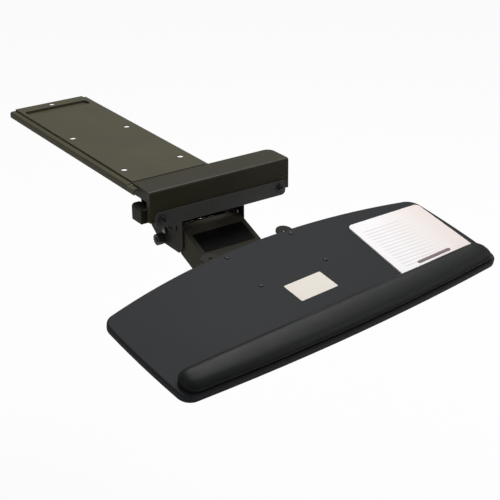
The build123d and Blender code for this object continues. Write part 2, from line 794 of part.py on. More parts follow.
# Bushes: flanged plastic liners in the arm's four pivot holes
with BuildPart() as arm_bushes:
    for run in (0, arm_length):
        for side in (-1, 1):
            wall_face = Plane(
                origin=along_arm(run, 0), x_dir=(0, 1, 0), z_dir=(side, 0, 0)
            ).offset(arm_width / 2)
            with BuildSketch(wall_face):
                Circle(bush_outer)
                Circle(rod_diameter / 2 + pivot_fit, mode=Mode.SUBTRACT)
            extrude(amount=-sheet)
            with BuildSketch(wall_face):
                Circle(bush_outer + bush_flange)
                Circle(rod_diameter / 2 + pivot_fit, mode=Mode.SUBTRACT)
            extrude(amount=bush_flange_thickness)
save(arm_bushes, "arm_bushes")

# Bare label on the arm's top
with BuildPart() as arm_label:
    with BuildSketch(label_plane):
        with Locations((0, -(arm_label_start + arm_label_length / 2))):
            RectangleRounded(arm_label_width, arm_label_length, label_corner)
    extrude(amount=label_thickness)
save(arm_label, "arm_label")

# Parallel link: upward channel under the arm that keeps the tray's angle
with BuildPart() as parallel_link:
    with BuildSketch(link_plane):
        with Locations((arm_length / 2, 0)):
            SlotCenterToCenter(arm_length, link_height)
        with Locations((0, 0), (arm_length, 0)):
            Circle(rod_diameter / 2 + pivot_fit, mode=Mode.SUBTRACT)
    extrude(amount=link_width / 2, both=True)
    with BuildSketch(link_plane):
        with Locations((arm_length / 2, sheet - link_height / 2)):
            Rectangle(
                arm_length + link_height + 2 * cut_overrun,
                link_height + cut_overrun,
                align=(Align.CENTER, Align.MIN),
            )
    extrude(amount=link_width / 2 - sheet, both=True, mode=Mode.SUBTRACT)
save(parallel_link, "parallel_link")

# Level bracket: two side plates and a front web that the tray tilts in
bracket_front = tilt_rod_y - bracket_boss
bracket_rear = link_front_pivot[1] + bracket_boss
bracket_low = link_front_pivot[2] - bracket_boss
bracket_foot = (tilt_rod_y, arm_front_pivot[2] - bracket_foot_drop)
bracket_span = bracket_rear - bracket_front + 2 * cut_overrun
web_top = tilt_rod_z - bracket_web_top
web_bottom = bracket_foot[1]
tilt_place = (head_x, tilt_rod_y, tilt_rod_z)
with BuildPart() as level_bracket:
    with BuildSketch(middle_plane):
        with Locations(
            (tilt_rod_y, tilt_rod_z),
            bracket_foot,
            arm_front_pivot[1:],
            link_front_pivot[1:],
        ):
            Circle(bracket_boss)
        make_hull()
        with Locations((tilt_rod_y, tilt_rod_z), arm_front_pivot[1:], link_front_pivot[1:]):
            Circle(rod_diameter / 2, mode=Mode.SUBTRACT)
    extrude(amount=bracket_spacing / 2, both=True)
    with BuildSketch(middle_plane):
        with Locations((bracket_front + sheet, web_bottom)):
            Rectangle(bracket_span, web_top - web_bottom, align=(Align.MIN, Align.MIN))
        with Locations((bracket_front - cut_overrun, web_top)):
            Rectangle(
                bracket_span,
                bracket_boss + bracket_web_top + cut_overrun,
                align=(Align.MIN, Align.MIN),
            )
        with Locations((bracket_front - cut_overrun, web_bottom)):
            Rectangle(
                bracket_span,
                web_bottom - bracket_low + cut_overrun,
                align=(Align.MIN, Align.MAX),
            )
    extrude(amount=bracket_spacing / 2 - sheet, both=True, mode=Mode.SUBTRACT)
save(level_bracket, "level_bracket")

# Rods, rings and friction washers in the level bracket
pivot_rod("arm_front_rod", arm_front_pivot, bracket_spacing)
pivot_rod("link_front_rod", link_front_pivot, bracket_spacing)
pivot_rod("tilt_rod", tilt_place, bracket_spacing)
rod_clips("bracket_rod_clips", (arm_front_pivot, link_front_pivot, tilt_place), bracket_spacing)
washer_room = bracket_spacing / 2 - sheet - tilt_plate_width / 2
with BuildPart() as tilt_washers:
    for side in (-1, 1):
        washer_x = head_x + side * (bracket_spacing / 2 - sheet)
        washer_plane = Plane(
            origin=(washer_x, tilt_rod_y, tilt_rod_z), x_dir=(0, 1, 0), z_dir=(-side, 0, 0)
        )
        with BuildSketch(washer_plane):
            Circle(tilt_hub - side_play)
            Circle(rod_diameter / 2, mode=Mode.SUBTRACT)
        extrude(amount=washer_room - side_play)
save(tilt_washers, "tilt_washers")

# Tilt plate: top plate with side flanges that hang on the tilt rod
tilt_outline = [
    (-tilt_plate_front, tilt_plate_top),
    (tilt_plate_rear, tilt_plate_top),
    (tilt_plate_rear, tilt_plate_top - tilt_plate_lip),
    (tilt_hub, -tilt_hub),
    (-tilt_hub, -tilt_hub),
    (-tilt_plate_front, tilt_plate_top - tilt_plate_lip),
]
with BuildPart() as tilt_plate:
    with BuildSketch(tilt_side_plane):
        with BuildLine():
            Polyline(*tilt_outline, close=True)
        tilt_face = make_face()
        fillet(tilt_face.vertices().sort_by(Axis.Y)[:2], tilt_corner)
        Circle(rod_diameter / 2 + pivot_fit, mode=Mode.SUBTRACT)
    extrude(amount=tilt_plate_width / 2, both=True)
    with BuildSketch(tilt_side_plane):
        with Locations(((tilt_plate_rear - tilt_plate_front) / 2, tilt_plate_rise)):
            Rectangle(
                tilt_plate_front + tilt_plate_rear + 2 * cut_overrun,
                tilt_plate_rise + 2 * tilt_hub,
                align=(Align.CENTER, Align.MAX),
            )
    extrude(amount=tilt_plate_width / 2 - sheet, both=True, mode=Mode.SUBTRACT)
    with BuildSketch(swivel_plane.offset(tilt_plate_top)):
        Circle(swivel_bolt_diameter / 2)
    extrude(amount=-tilt_plate_thickness, mode=Mode.SUBTRACT)
save(tilt_plate, "tilt_plate")

# Swivel bolt, washer and nut
swivel_nut_bottom = board_bottom + side_play
with BuildPart() as swivel_bolt:
    with BuildSketch(swivel_plane.offset(tilt_plate_rise)):
        RegularPolygon(swivel_head_flats / 2, 6, major_radius=False)
    extrude(amount=-swivel_head_height)
    with BuildSketch(swivel_plane.offset(tilt_plate_rise)):
        Circle(swivel_bolt_diameter / 2)
    extrude(amount=swivel_nut_bottom + swivel_nut_height - tilt_plate_rise)
save(swivel_bolt, "swivel_bolt")

with BuildPart() as swivel_washer:
    with BuildSketch(swivel_plane.offset(tilt_plate_top)):
        Circle(swivel_washer_diameter / 2)
        Circle(swivel_bolt_diameter / 2, mode=Mode.SUBTRACT)
    extrude(amount=swivel_washer_thickness)
save(swivel_washer, "swivel_washer")

with BuildPart() as swivel_nut:
    with BuildSketch(swivel_plane.offset(swivel_nut_bottom)):
        RegularPolygon(swivel_head_flats / 2, 6, major_radius=False)
        Circle(swivel_bolt_diameter / 2, mode=Mode.SUBTRACT)
    extrude(amount=swivel_nut_height)
save(swivel_nut, "swivel_nut")

# Swivel plate under the board, with two ears behind the board's rear edge
with BuildPart() as swivel_plate:
    with BuildSketch(board_plane.offset(-board_thickness)):
        RectangleRounded(swivel_plate_width, swivel_plate_depth, swivel_plate_corner)
        with Locations((0, (ear_reach - ear_width / 2) / 2)):
            with GridLocations(ear_spread, 0, 2, 1):
                Rectangle(ear_width, ear_reach - ear_width / 2)
        with Locations((0, ear_reach - ear_width / 2)):
            with GridLocations(ear_spread, 0, 2, 1):
                Circle(ear_width / 2)
                Circle(ear_hole_diameter / 2, mode=Mode.SUBTRACT)
        Circle(swivel_bolt_diameter / 2 + pivot_fit, mode=Mode.SUBTRACT)
        with GridLocations(tray_screw_spread, tray_screw_pitch, 2, 2):
            Circle(tray_screw_diameter / 2, mode=Mode.SUBTRACT)
    extrude(amount=-sheet)
save(swivel_plate, "swivel_plate")

# Tray board: bowed rear and front edges, rounded corners
half_board = board_width / 2
board_middle_y = (board_front + board_rear) / 2
board_up = Axis(board_plane.origin, board_plane.z_dir)
with BuildSketch(Plane.XY) as board_plan:
    with BuildLine():
        ThreePointArc(
            (-half_board, board_front),
            (0, board_front - board_front_bow),
            (half_board, board_front),
        )
        ThreePointArc(
            (half_board, board_front),
            (half_board + board_side_bow, board_middle_y),
            (half_board, board_rear),
        )
        ThreePointArc(
            (half_board, board_rear),
            (0, board_rear + board_rear_bow),
            (-half_board, board_rear),
        )
        ThreePointArc(
            (-half_board, board_rear),
            (-half_board - board_side_bow, board_middle_y),
            (-half_board, board_front),
        )
    make_face()
    fillet(board_plan.vertices().sort_by(Axis.Y)[:2], board_front_corner)
    fillet(board_plan.vertices().sort_by(Axis.Y)[-2:], board_rear_corner)
with BuildPart() as tray_board:
    with BuildSketch(board_plane):
        add(board_plan.sketch)
    extrude(amount=-board_thickness)
    board_faces = tray_board.faces().sort_by(board_up)
    fillet(board_faces[-1].outer_wire().edges(), board_top_edge)
    fillet(tray_board.faces().sort_by(board_up)[0].outer_wire().edges(), board_bottom_edge)
    with BuildSketch(board_plane.offset(-board_thickness)):
        Circle(board_pocket_diameter / 2)
    extrude(amount=board_pocket_depth, mode=Mode.SUBTRACT)
    with BuildSketch(board_plane):
        with GridLocations(tray_screw_spread, tray_screw_pitch, 2, 2):
            Circle(tray_screw_diameter / 2)
    extrude(amount=-board_thickness, mode=Mode.SUBTRACT)
save(tray_board, "tray_board")

# Screws that hold the board to the swivel plate, with their heads on the board
with BuildPart() as tray_screws:
    with BuildSketch(board_plane.offset(-(board_thickness + sheet))):
        with GridLocations(tray_screw_spread, tray_screw_pitch, 2, 2):
            Circle(tray_screw_diameter / 2)
    extrude(amount=board_thickness + sheet)
    with BuildSketch(board_plane):
        with GridLocations(tray_screw_spread, tray_screw_pitch, 2, 2):
            Circle(tray_screw_head / 2)
    extrude(amount=tray_screw_head_height)
    head_rims = tray_screws.edges().filter_by(GeomType.CIRCLE).group_by(board_up)[-1]
    fillet(head_rims, tray_screw_head_height / 2)
save(tray_screws, "tray_screws")

# Palm rest: soft roll along the front edge, on a thin base that leaves a groove below it
rest_rear = board_front + rest_depth


def rest_outline(inset):
    """Palm rest seen from above, drawn in on every side by an inset."""
    half_rest = half_board - rest_end_inset - inset
    rest_front = board_front + rest_inset + inset
    rest_back = rest_rear - inset
    with BuildSketch(Plane.XY) as outline:
        with BuildLine():
            ThreePointArc(
                (-half_rest, rest_front),
                (0, rest_front - board_front_bow),
                (half_rest, rest_front),
            )
            Polyline(
                (half_rest, rest_front),
                (half_rest, rest_back),
                (-half_rest, rest_back),
                (-half_rest, rest_front),
            )
        make_face()
        fillet(outline.vertices(), rest_corner - inset)
    return outline.sketch


rest_plan = rest_outline(0)
rest_base_plan = rest_outline(rest_base_inset)
with BuildPart() as palm_rest_base:
    with BuildSketch(board_plane):
        add(rest_base_plan)
    extrude(amount=rest_base_thickness)
save(palm_rest_base, "palm_rest_base")

with BuildPart() as palm_rest:
    with BuildSketch(board_plane.offset(rest_base_thickness)):
        add(rest_plan)
    extrude(amount=rest_height)
    fillet(palm_rest.faces().sort_by(board_up)[-1].outer_wire().edges(), rest_crown)
    fillet(palm_rest.faces().sort_by(board_up)[0].outer_wire().edges(), rest_tuck)
save(palm_rest, "palm_rest")

# Mouse pad and its coloured bar
pad_front = rest_rear + pad_gap
pad_right_front = half_board - pad_front_inset
pad_right_rear = half_board - pad_rear_inset
pad_corners = [
    (pad_right_front - pad_front_width, pad_front),
    (pad_right_front, pad_front),
    (pad_right_rear, pad_rear_right),
    (pad_right_rear - pad_rear_width, pad_rear_left),
]
with BuildPart() as mouse_pad:
    with BuildSketch(board_plane) as pad_plan:
        with BuildLine():
            Polyline(*pad_corners, close=True)
        make_face()
        fillet(pad_plan.vertices().sort_by(Axis.Y)[:2], pad_front_corner)
        fillet(pad_plan.vertices().sort_by(Axis.Y)[-2:], pad_corner)
    extrude(amount=pad_thickness)
save(mouse_pad, "mouse_pad")

with BuildPart() as mouse_pad_bar:
    with BuildSketch(board_plane.offset(pad_thickness)):
        with Locations((pad_right_front - bar_side_inset, pad_front + bar_inset)):
            SlotOverall(bar_length, bar_width)
    extrude(amount=bar_thickness)
save(mouse_pad_bar, "mouse_pad_bar")

# Bare label on the board
with BuildPart() as tray_label:
    with BuildSketch(board_plane):
        with Locations((tray_label_x, tray_label_y)):
            RectangleRounded(tray_label_width, tray_label_depth, label_corner)
    extrude(amount=label_thickness)
save(tray_label, "tray_label")
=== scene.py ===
# %% [markdown]
# # A keyboard tray that pulls out from under a desk
# The tray hangs from a painted steel track. A head at the track's front carries a lift arm,
# the arm carries a bracket, and the bracket carries a board with a soft palm rest.
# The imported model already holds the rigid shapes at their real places. This script loads it
# first, so every new piece and finish below is fitted to a frame that never moves.

# %% Load the frame
from math import cos, pi, radians, sin

import bmesh
import bpy
from mathutils import Matrix, Vector


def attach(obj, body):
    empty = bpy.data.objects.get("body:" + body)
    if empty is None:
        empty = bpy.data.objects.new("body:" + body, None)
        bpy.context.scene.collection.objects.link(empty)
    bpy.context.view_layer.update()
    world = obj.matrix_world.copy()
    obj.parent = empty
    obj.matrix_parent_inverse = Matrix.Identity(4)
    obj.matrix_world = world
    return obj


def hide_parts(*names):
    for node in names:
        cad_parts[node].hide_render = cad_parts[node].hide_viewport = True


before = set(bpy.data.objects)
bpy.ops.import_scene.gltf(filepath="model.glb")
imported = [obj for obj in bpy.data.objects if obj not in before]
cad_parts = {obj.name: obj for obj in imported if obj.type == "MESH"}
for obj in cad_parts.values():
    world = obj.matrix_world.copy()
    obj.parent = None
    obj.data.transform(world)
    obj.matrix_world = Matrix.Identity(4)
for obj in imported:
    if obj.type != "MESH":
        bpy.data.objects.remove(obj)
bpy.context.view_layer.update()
scene = bpy.context.scene

# %% [markdown]
# ## Places worth a name
# The board leans and is turned a little, so its pieces are easiest to make flat and then
# carried to the board. A matrix does that. It starts at the rod that the board tilts on, and
# the springs take their place from the rod that the arm swings on. All lengths are metres,
# and `MM` turns millimetres into them.

# %% Places on the tray
MM = 0.001
tray_lean = radians(11.7)
tray_turn = radians(5.7)
head_x = 66 * MM
tilt_rod = Vector((head_x, -338.711 * MM, -120.175 * MM))
arm_rod = Vector((head_x, -131.7 * MM, -94.7 * MM))
board_above_rod = 32.1 * MM
swivel_ahead = 20 * MM
to_board = (
    Matrix.Translation(tilt_rod)
    @ Matrix.Rotation(tray_lean, 4, "X")
    @ Matrix.Translation((0, -swivel_ahead, board_above_rod))
    @ Matrix.Rotation(tray_turn, 4, "Z")
)
from_board = to_board.inverted()
board_right = (to_board.to_3x3() @ Vector((1, 0, 0))).normalized()
board_back = (to_board.to_3x3() @ Vector((0, 1, 0))).normalized()
print("board middle", [round(v, 4) for v in to_board.translation])

# %% [markdown]
# ## A small language for finishes
# A finish is a network of nodes, and long networks are hard to read as links. `Wire` wraps
# one output, so plain arithmetic on it adds Math nodes. `Finish` holds a material and adds
# any other node in one call.

# %% Wire and Finish
class Wire:
    """One output of a node, with arithmetic that adds the Math nodes it stands for."""

    def __init__(self, finish, socket):
        self.finish = finish
        self.socket = socket

    def _math(self, operation, first, second=None):
        inputs = {0: first} if second is None else {0: first, 1: second}
        return self.finish.node("ShaderNodeMath", {"operation": operation}, inputs)[0]

    def __add__(self, other):
        return self._math("ADD", self, other)

    __radd__ = __add__

    def __mul__(self, other):
        return self._math("MULTIPLY", self, other)

    __rmul__ = __mul__

    def __sub__(self, other):
        return self._math("SUBTRACT", self, other)

    def __rsub__(self, other):
        return self._math("SUBTRACT", other, self)

    def __gt__(self, other):
        return self._math("GREATER_THAN", self, other)

    def __lt__(self, other):
        return self._math("LESS_THAN", self, other)

    def sine(self):
        """The sine of an angle in radians."""
        return self._math("SINE", self)

    def size(self):
        """The value without its sign."""
        return self._math("ABSOLUTE", self)


class Finish:
    """A material and the short calls that add nodes to it."""

    def __init__(self, name, color, roughness, metallic=0.0, specular=0.5):
        self.material = bpy.data.materials.new(name)
        self.material.use_nodes = True
        self.material.diffuse_color = (*color, 1.0)
        self.tree = self.material.node_tree
        self.shader = self.tree.nodes["Principled BSDF"]
        self.set("Base Color", (*color, 1.0))
        self.set("Roughness", roughness)
        self.set("Metallic", metallic)
        self.set("Specular IOR Level", specular)
        self.place = self.node("ShaderNodeTexCoord")["Object"]

    def node(self, kind, settings=None, inputs=None):
        """A new node. Its outputs come back by name and by number, as wires."""
        node = self.tree.nodes.new(kind)
        for key, value in (settings or {}).items():
            if key == "stops":
                ramp = node.color_ramp
                while len(ramp.elements) < len(value):
                    ramp.elements.new(0.5)
                for stop, (position, level) in zip(ramp.elements, value):
                    stop.position = position
                    stop.color = (level, level, level, 1.0)
            else:
                setattr(node, key, value)
        for key, value in (inputs or {}).items():
            if isinstance(value, Wire):
                self.tree.links.new(value.socket, node.inputs[key])
            else:
                node.inputs[key].default_value = value
        outputs = {}
        for number, socket in enumerate(node.outputs):
            wire = Wire(self, socket)
            outputs[number] = wire
            if socket.enabled:
                outputs[socket.name] = wire
        return outputs

    def set(self, name, value):
        """A value or a wire for one socket of the shader."""
        if isinstance(value, Wire):
            self.tree.links.new(value.socket, self.shader.inputs[name])
        else:
            self.shader.inputs[name].default_value = value

    def noise(self, scale, detail=3.0, roughness=0.5, place=None):
        """Clouds or specks between 0 and 1. The scale counts them along a metre."""
        inputs = {"Vector": place or self.place, "Scale": scale}
        inputs.update(Detail=detail, Roughness=roughness)
        return self.node("ShaderNodeTexNoise", None, inputs)[0]

    def cells(self, scale, feature="F1"):
        """Distance to the middle of a cell, or to its edge."""
        return self.node(
            "ShaderNodeTexVoronoi",
            {"feature": feature},
            {"Vector": self.place, "Scale": scale},
        )["Distance"]

    def ramp(self, wire, *stops):
        """A grey level that follows pairs of position and level."""
        return self.node("ShaderNodeValToRGB", {"stops": stops}, {0: wire})[0]

    def mix(self, mask, first, second):
        """A colour between two colours. A Mix node keeps its colours in slots 6 and 7."""
        inputs = {0: mask}
        for slot, value in ((6, first), (7, second)):
            inputs[slot] = value if isinstance(value, Wire) else (*value, 1.0)
        return self.node("ShaderNodeMix", {"data_type": "RGBA"}, inputs)[2]

    def along(self, direction, start):
        """How far a point lies from a start, along a direction."""
        dot = self.node(
            "ShaderNodeVectorMath",
            {"operation": "DOT_PRODUCT"},
            {0: self.place, 1: tuple(direction)},
        )["Value"]
        return dot - Vector(start).dot(Vector(direction))

    def stretched(self, scale):
        """Object coordinates stretched along the axes, for brushed or rolled surfaces."""
        return self.node("ShaderNodeMapping", None, {"Vector": self.place, "Scale": scale})[0]

    def bump(self, height, distance, strength):
        """Small relief, its height in metres given by the distance."""
        inputs = {"Height": height, "Distance": distance, "Strength": strength}
        self.set("Normal", self.node("ShaderNodeBump", None, inputs)[0])


def shade_of(color, factor):
    """The same colour, lighter or darker."""
    return tuple(min(1.0, channel * factor) for channel in color)


# %% [markdown]
# ## Paint
# The track and head are pressed steel under a dark olive-brown paint. Baked paint is not
# flat: it has a fine orange peel, faint cloudy patches that also change its shine, and small
# specks of dust. One function makes every painted colour, so they age alike.

# %% Painted steel
def painted(name, color, roughness, gloss=0.12):
    """Baked paint over steel. The gloss sets its mirror share and its thin coat."""
    paint = Finish(name, color, roughness, specular=gloss)
    clouds = paint.noise(9.0, detail=4.0, roughness=0.6)
    specks = paint.noise(900.0, detail=2.0)
    tone = paint.ramp(clouds, (0.3, 0.0), (0.75, 1.0))
    base = paint.mix(tone, shade_of(color, 0.9), shade_of(color, 1.1))
    dust = paint.ramp(specks, (0.62, 0.0), (0.7, 1.0))
    paint.set("Base Color", paint.mix(dust * 0.35, base, shade_of(color, 1.35)))
    paint.set("Roughness", roughness + 0.1 * (clouds - 0.5) + 0.05 * (specks - 0.5))
    peel = paint.noise(520.0, detail=2.0)
    paint.bump(peel, distance=0.12 * MM, strength=0.35)
    paint.set("Coat Weight", gloss / 3)
    paint.set("Coat Roughness", 0.25)
    return paint.material


track_paint = painted("olive_track_paint", (0.066, 0.060, 0.038), 0.46, gloss=0.10)
hood_paint = painted("olive_hood_paint", (0.034, 0.031, 0.0185), 0.38, gloss=0.11)
head_paint = painted("olive_head_paint", (0.019, 0.0175, 0.0118), 0.45, gloss=0.09)
bar_paint = painted("grey_bar_paint", (0.060, 0.060, 0.058), 0.42)
arm_paint = painted("olive_arm_paint", (0.052, 0.047, 0.035), 0.6, gloss=0.04)
black_paint = painted("black_plate_paint", (0.016, 0.015, 0.011), 0.5, gloss=0.06)


# %% [markdown]
# ## Bare and plated steel
# Zinc plate is a soft grey with a cloudy sheen, and rolled sheet keeps fine lines along its
# length. Black-oxide steel is the same thing, dark. The screw heads are dark too, but
# smoother, so each catches one bright point.

# %% Steel
def steel(name, color, roughness, grain=(1.0, 1.0, 1.0)):
    """Metal with fine lines. The grain stretches them along one or two axes."""
    metal = Finish(name, color, roughness, metallic=1.0)
    lines = metal.noise(160.0, roughness=0.6, place=metal.stretched(grain))
    clouds = metal.noise(55.0)
    metal.set("Base Color", metal.mix(clouds, shade_of(color, 0.82), shade_of(color, 1.12)))
    metal.set("Roughness", roughness + 0.16 * (lines - 0.5) + 0.1 * (clouds - 0.5))
    metal.bump(lines, distance=0.05 * MM, strength=0.3)
    return metal.material


zinc = steel("zinc_plate", (0.50, 0.50, 0.48), 0.38, (1.0, 0.06, 1.0))
rod_steel = steel("turned_rod", (0.26, 0.26, 0.25), 0.28, (6.0, 0.5, 0.5))
dark_steel = steel("black_oxide", (0.050, 0.050, 0.050), 0.42, (1.0, 0.08, 1.0))
bright_steel = steel("bright_screw", (0.036, 0.036, 0.035), 0.26)


# %% [markdown]
# ## Moulded plastic
# Bushes, glides, washers and the knob are black plastic with a spark-eroded texture: a fine
# even grain that breaks the reflections up.

# %% Plastic
def moulded(name, color, roughness):
    """Plastic from a textured mould."""
    plastic = Finish(name, color, roughness)
    grains = plastic.noise(1400.0, detail=2.0)
    plastic.set("Base Color", plastic.mix(grains, shade_of(color, 0.85), shade_of(color, 1.2)))
    plastic.set("Roughness", roughness + 0.12 * (grains - 0.5))
    plastic.bump(grains, distance=0.06 * MM, strength=0.5)
    return plastic.material


black_plastic = moulded("black_moulding", (0.022, 0.022, 0.023), 0.5)


# %% [markdown]
# ## Label film
# Two labels are stuck on, a white one on the board and a black one on the arm. Film is
# smooth, so a faint haze in its tone and shine is enough: more would look like paper.

# %% Label film
def film(name, color, roughness, gloss):
    """Smooth film with hardly any grain."""
    sheet = Finish(name, color, roughness, specular=gloss)
    haze = sheet.noise(60.0, detail=2.0)
    sheet.set("Base Color", sheet.mix(haze, shade_of(color, 0.97), shade_of(color, 1.03)))
    sheet.set("Roughness", roughness + 0.06 * (haze - 0.5))
    return sheet.material


white_film = film("white_label_film", (0.72, 0.67, 0.60), 0.5, 0.4)
black_film = film("black_label_film", (0.0030, 0.0030, 0.0032), 0.5, 0.06)

# %% [markdown]
# ## The board's charcoal skin
# The board is a moulded charcoal sheet with a matt pebbled grain. The grain is cells with
# rounded shoulders, about a tenth of a millimetre high, and the tone drifts a little from
# place to place.

# %% Board skin
board_color = (0.0175, 0.0185, 0.0205)
board_finish = Finish("charcoal_board", board_color, 0.54, specular=0.09)
pebble = board_finish.cells(700.0, "SMOOTH_F1")
drift = board_finish.noise(3.5)
fleck = board_finish.noise(1500.0, detail=2.0)
skin_tone = board_finish.mix(drift, shade_of(board_color, 0.92), shade_of(board_color, 1.08))
skin_fleck = board_finish.ramp(fleck, (0.6, 0.0), (0.72, 1.0))
board_finish.set(
    "Base Color",
    board_finish.mix(skin_fleck * 0.3, skin_tone, shade_of(board_color, 1.5)),
)
board_finish.set("Roughness", 0.5 + 0.1 * (drift - 0.5) + 0.12 * pebble)
board_finish.bump(pebble, distance=0.12 * MM, strength=0.35)
board_skin = board_finish.material

# %% [markdown]
# ## Leatherette
# The palm rest wears a black coated cloth pressed with a leather grain. Real leather grain
# is two sizes of cell, small ones inside larger creases, so two Voronoi textures are added.
# A thin coat gives the soft sheen along the crown. The creases are also painted darker than the
# cover around them, as painted shade in their grooves.

# %% Rest skin
rest_color = (0.0060, 0.0068, 0.0071)
rest_finish = Finish("black_leatherette", rest_color, 0.42, specular=0.14)
creases = rest_finish.cells(260.0, "DISTANCE_TO_EDGE")
grain = rest_finish.cells(620.0)
# The crease line is both the grooves' relief and their painted shade.
crease_relief_and_shade = rest_finish.ramp(creases, (0.0, 0.0), (0.09, 1.0))
mottle = rest_finish.noise(30.0)
# Painted shade: the colour is darkened along the creases, as if shade lay in the grooves.
rest_finish.set(
    "Base Color",
    rest_finish.mix(crease_relief_and_shade, shade_of(rest_color, 0.65), rest_color),
)
rest_finish.set("Roughness", 0.43 + 0.14 * (mottle - 0.5) + 0.08 * grain)
rest_finish.bump(crease_relief_and_shade * 0.6 + grain * 0.4, distance=0.18 * MM, strength=0.45)
rest_finish.set("Coat Weight", 0.03)
rest_finish.set("Coat Roughness", 0.4)
rest_skin = rest_finish.material

# %% [markdown]
# ## The mouse pad's cloth
# The pad is pale knitted cloth on foam. It is nearly white on the left, with thin grey lines
# that fade out, and a warmer pink on the right. Both are plain functions of two distances,
# across the pad and along it, and a fine weave lies under them.

# %% Pad cloth
pad_left, pad_right = 153 * MM, 317 * MM
pad_front = -145 * MM
pad_turn = radians(-4.0)
pad_across = board_right * cos(pad_turn) + board_back * sin(pad_turn)
pad_along = board_back * cos(pad_turn) - board_right * sin(pad_turn)
pad_start = to_board @ Vector((pad_left, pad_front, 0))
pale_cloth, warm_cloth, line_grey = (0.90, 0.885, 0.89), (0.79, 0.71, 0.68), (0.60, 0.57, 0.57)
pad_finish = Finish("pad_cloth", (0.80, 0.74, 0.71), 0.78, specular=0.3)
across = pad_finish.along(pad_across, pad_start)
along = pad_finish.along(pad_along, pad_start)
across_share = across * (1 / (pad_right - pad_left))
warm = pad_finish.ramp(across_share, (0.25, 0.0), (0.9, 1.0))
cloth = pad_finish.mix(warm, pale_cloth, warm_cloth)
line_pitch = 8.2 * MM
line_wave = (along * (2 * pi / line_pitch)).sine()
line_mask = pad_finish.ramp(line_wave, (0.62, 0.0), (0.86, 1.0))
fade = pad_finish.ramp(across_share, (0.05, 0.0), (0.09, 1.0), (0.45, 0.9), (0.7, 0.0))
first_line, last_line = 14 * MM, 132 * MM
inside = (along > first_line) * (along < last_line)
darkest_line = 0.75
line_strength = line_mask * fade * inside * darkest_line
pad_finish.set("Base Color", pad_finish.mix(line_strength, cloth, line_grey))
thread = 0.55 * MM
weave = (across * (2 * pi / thread)).sine() * (along * (2 * pi / thread)).sine()
pad_finish.bump(weave * 0.5 + 0.5, distance=0.06 * MM, strength=0.4)
pad_finish.set("Sheen Weight", 0.15)
pad_cloth = pad_finish.material

# %% [markdown]
# The short strip near the pad's front edge is dark at its rim and paler along its middle.
# Two distances from its middle make that rim, one along it and one across.

# %% Strip on the pad
strip_middle = to_board @ Vector((230 * MM, -131 * MM, 0))
strip_half_length, strip_half_width, strip_rim = 38 * MM, 3.0 * MM, 1.0 * MM
rim_maroon, core_maroon = (0.070, 0.028, 0.034), (0.14, 0.08, 0.088)
strip_finish = Finish("maroon_strip", rim_maroon, 0.45)
from_middle = strip_finish.along(board_right, strip_middle).size()
lengthwise = from_middle < (strip_half_length - 2 * strip_rim)
from_axis = strip_finish.along(board_back, strip_middle).size()
crosswise = from_axis < (strip_half_width - strip_rim)
core = lengthwise * crosswise
strip_finish.set("Base Color", strip_finish.mix(core, rim_maroon, core_maroon))
maroon_strip = strip_finish.material


# %% [markdown]
# ## Dressing the frame
# Most rigid nodes have the right shape already, so they keep it and only get a finish.

# %% Finishes for the rigid nodes
finishes = {
    track_paint: ["track_channel"],
    hood_paint: ["hood", "head_beam"],
    head_paint: ["side_clip", "gusset_left", "gusset_right", "level_bracket"],
    arm_paint: ["lift_arm"],
    bar_paint: ["release_bar"],
    black_paint: ["swivel_plate"],
    zinc: ["slide_bar", "swivel_nut", "swivel_bolt"],
    rod_steel: ["arm_rear_rod", "link_rear_rod", "arm_front_rod", "link_front_rod", "tilt_rod"],
    dark_steel: [
        "knob_stud", "slide_guide", "gusset_bolts", "head_rod_clips",
        "bracket_rod_clips", "parallel_link", "tilt_plate",
    ],
    black_plastic: [
        "guide_glides", "slide_glides", "rear_stop", "release_bar_washers", "tension_knob",
        "arm_bushes", "tilt_washers", "swivel_washer", "palm_rest_base",
    ],
    board_skin: ["tray_board"],
    white_film: ["tray_label"],
    black_film: ["arm_label"],
    maroon_strip: ["mouse_pad_bar"],
}
for material, names in finishes.items():
    for name in names:
        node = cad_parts[name]
        node.data.materials.clear()
        node.data.materials.append(material)
print("dressed", sum(len(names) for names in finishes.values()), "nodes")


# %% [markdown]
# ## Helpers for new pieces
# A new piece is a bmesh that is turned into an object at the origin. It rides on a body of
# the frame, and it stands for a node whose plain solid it hides.

# %% Make an object from a bmesh
def make_piece(name, mesh_builder, material, body, replaced, smooth=True):
    """An object that rides on a body and stands for the plain nodes that it hides."""
    mesh = bpy.data.meshes.new(name)
    mesh_builder.to_mesh(mesh)
    mesh_builder.free()
    piece = bpy.data.objects.new(name, mesh)
    scene.collection.objects.link(piece)
    mesh.materials.append(material)
    for polygon in mesh.polygons:
        polygon.use_smooth = smooth
    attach(piece, body)
    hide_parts(*replaced)
    print(name, len(mesh.polygons), "faces")
    return piece


# %% [markdown]
# ## The palm rest
# A gel palm rest is a long roll: flat where it lies on its base, full on top, and drawn in
# at the ends where the cover is pulled tight. A copy of the plain solid is remeshed into
# even squares, because a smoothing brush needs them. Then the vertices are eased, and the
# cover is drawn in along the sides and swelled a little on top.

# %% Remesh a copy of the solid
def solid_copy(node_name):
    """A merged copy of a node's loose triangles."""
    copy = bmesh.new()
    copy.from_mesh(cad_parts[node_name].data)
    bmesh.ops.remove_doubles(copy, verts=copy.verts, dist=1e-6)
    return copy


def remeshed(source, voxel):
    """Even squares over a closed shape."""
    mesh = bpy.data.meshes.new("remesh_source")
    source.to_mesh(mesh)
    source.free()
    holder = bpy.data.objects.new("remesh_source", mesh)
    scene.collection.objects.link(holder)
    modifier = holder.modifiers.new("voxels", "REMESH")
    modifier.mode = "VOXEL"
    modifier.voxel_size = voxel
    depsgraph = bpy.context.evaluated_depsgraph_get()
    result = bmesh.new()
    result.from_mesh(holder.evaluated_get(depsgraph).to_mesh())
    bpy.data.objects.remove(holder)
    bpy.data.meshes.remove(mesh)
    return result


